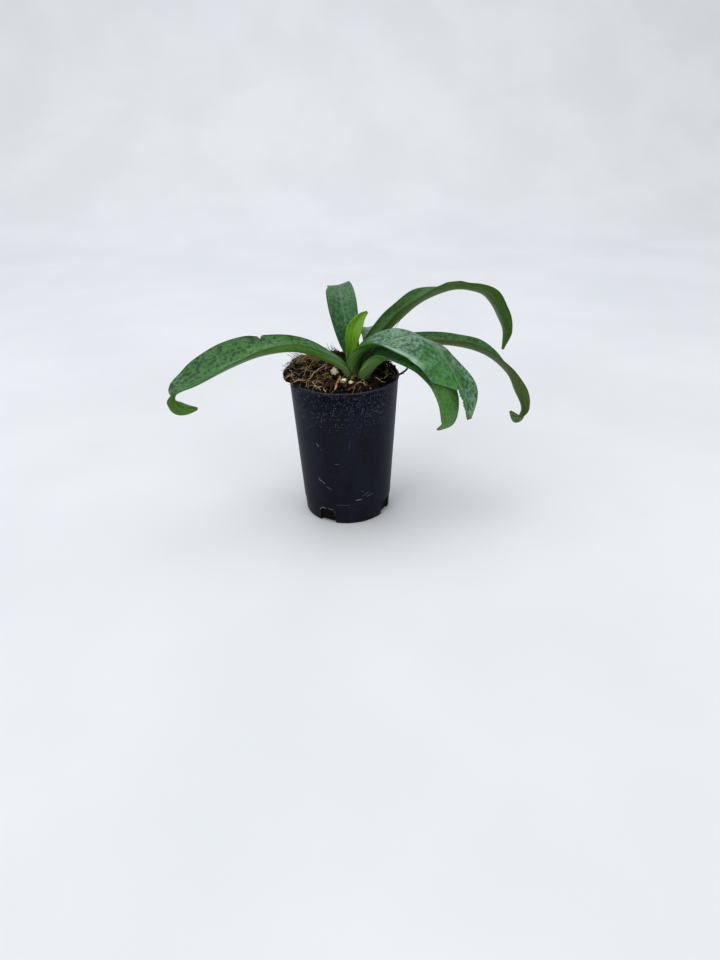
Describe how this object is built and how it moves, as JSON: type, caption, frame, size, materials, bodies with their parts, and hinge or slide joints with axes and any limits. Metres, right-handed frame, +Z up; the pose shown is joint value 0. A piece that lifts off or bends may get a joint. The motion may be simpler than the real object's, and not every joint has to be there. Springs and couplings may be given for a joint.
{
  "type": "potted ledebouria petiolata",
  "caption": "Young potted bulb plant with long spotted arching leaves, rising from heaped bark potting mix in a tapered dark plastic nursery pot.",
  "frame": {"origin": "centre of the pot's underside", "axes": "+Z up; +X to the right and +Y to the back as seen from the front, where the longest leaves spread along X"},
  "size_m": [0.2294, 0.1031, 0.147],
  "materials": {
    "pot": "satin moulded plastic, near-black navy, lightly scuffed",
    "soil": "moist bark and fibre potting mix",
    "bulb": "dry papery bulb skin",
    "roots": "fleshy pale roots",
    "leaf": "blue-green leaf with darker spots, satin",
    "leaf_silver": "silvery green leaf with large dark spots, satin",
    "leaf_young": "bright yellow-green young leaf, satin",
    "strand": "dry tan root",
    "strand_dark": "dry brown root",
    "bark_strip": "dry tan bark strip",
    "bark": "rough olive-brown bark",
    "perlite": "matte off-white granule",
    "twig": "dark dry twig"
  },
  "bodies": {
    "root": {"pot": "pot", "soil": "soil", "bulb": "bulb", "roots": "roots", "leaf_left": "leaf", "leaf_back": "leaf", "leaf_young": "leaf_young", "leaf_arching": "leaf", "leaf_front": "leaf_silver", "leaf_right": "leaf", "leaf_rear": "leaf", "leaf_under": "leaf", "root_strand_long": "strand", "root_strand_mid": "strand_dark", "root_strand_left": "strand", "root_strand_front": "strand", "root_strand_red": "strand_dark", "bark_strip": "bark_strip", "perlite_1": "perlite", "perlite_2": "perlite", "perlite_3": "perlite", "bark_chunk": "bark", "twig": "twig"}
  },
  "joints": []
}
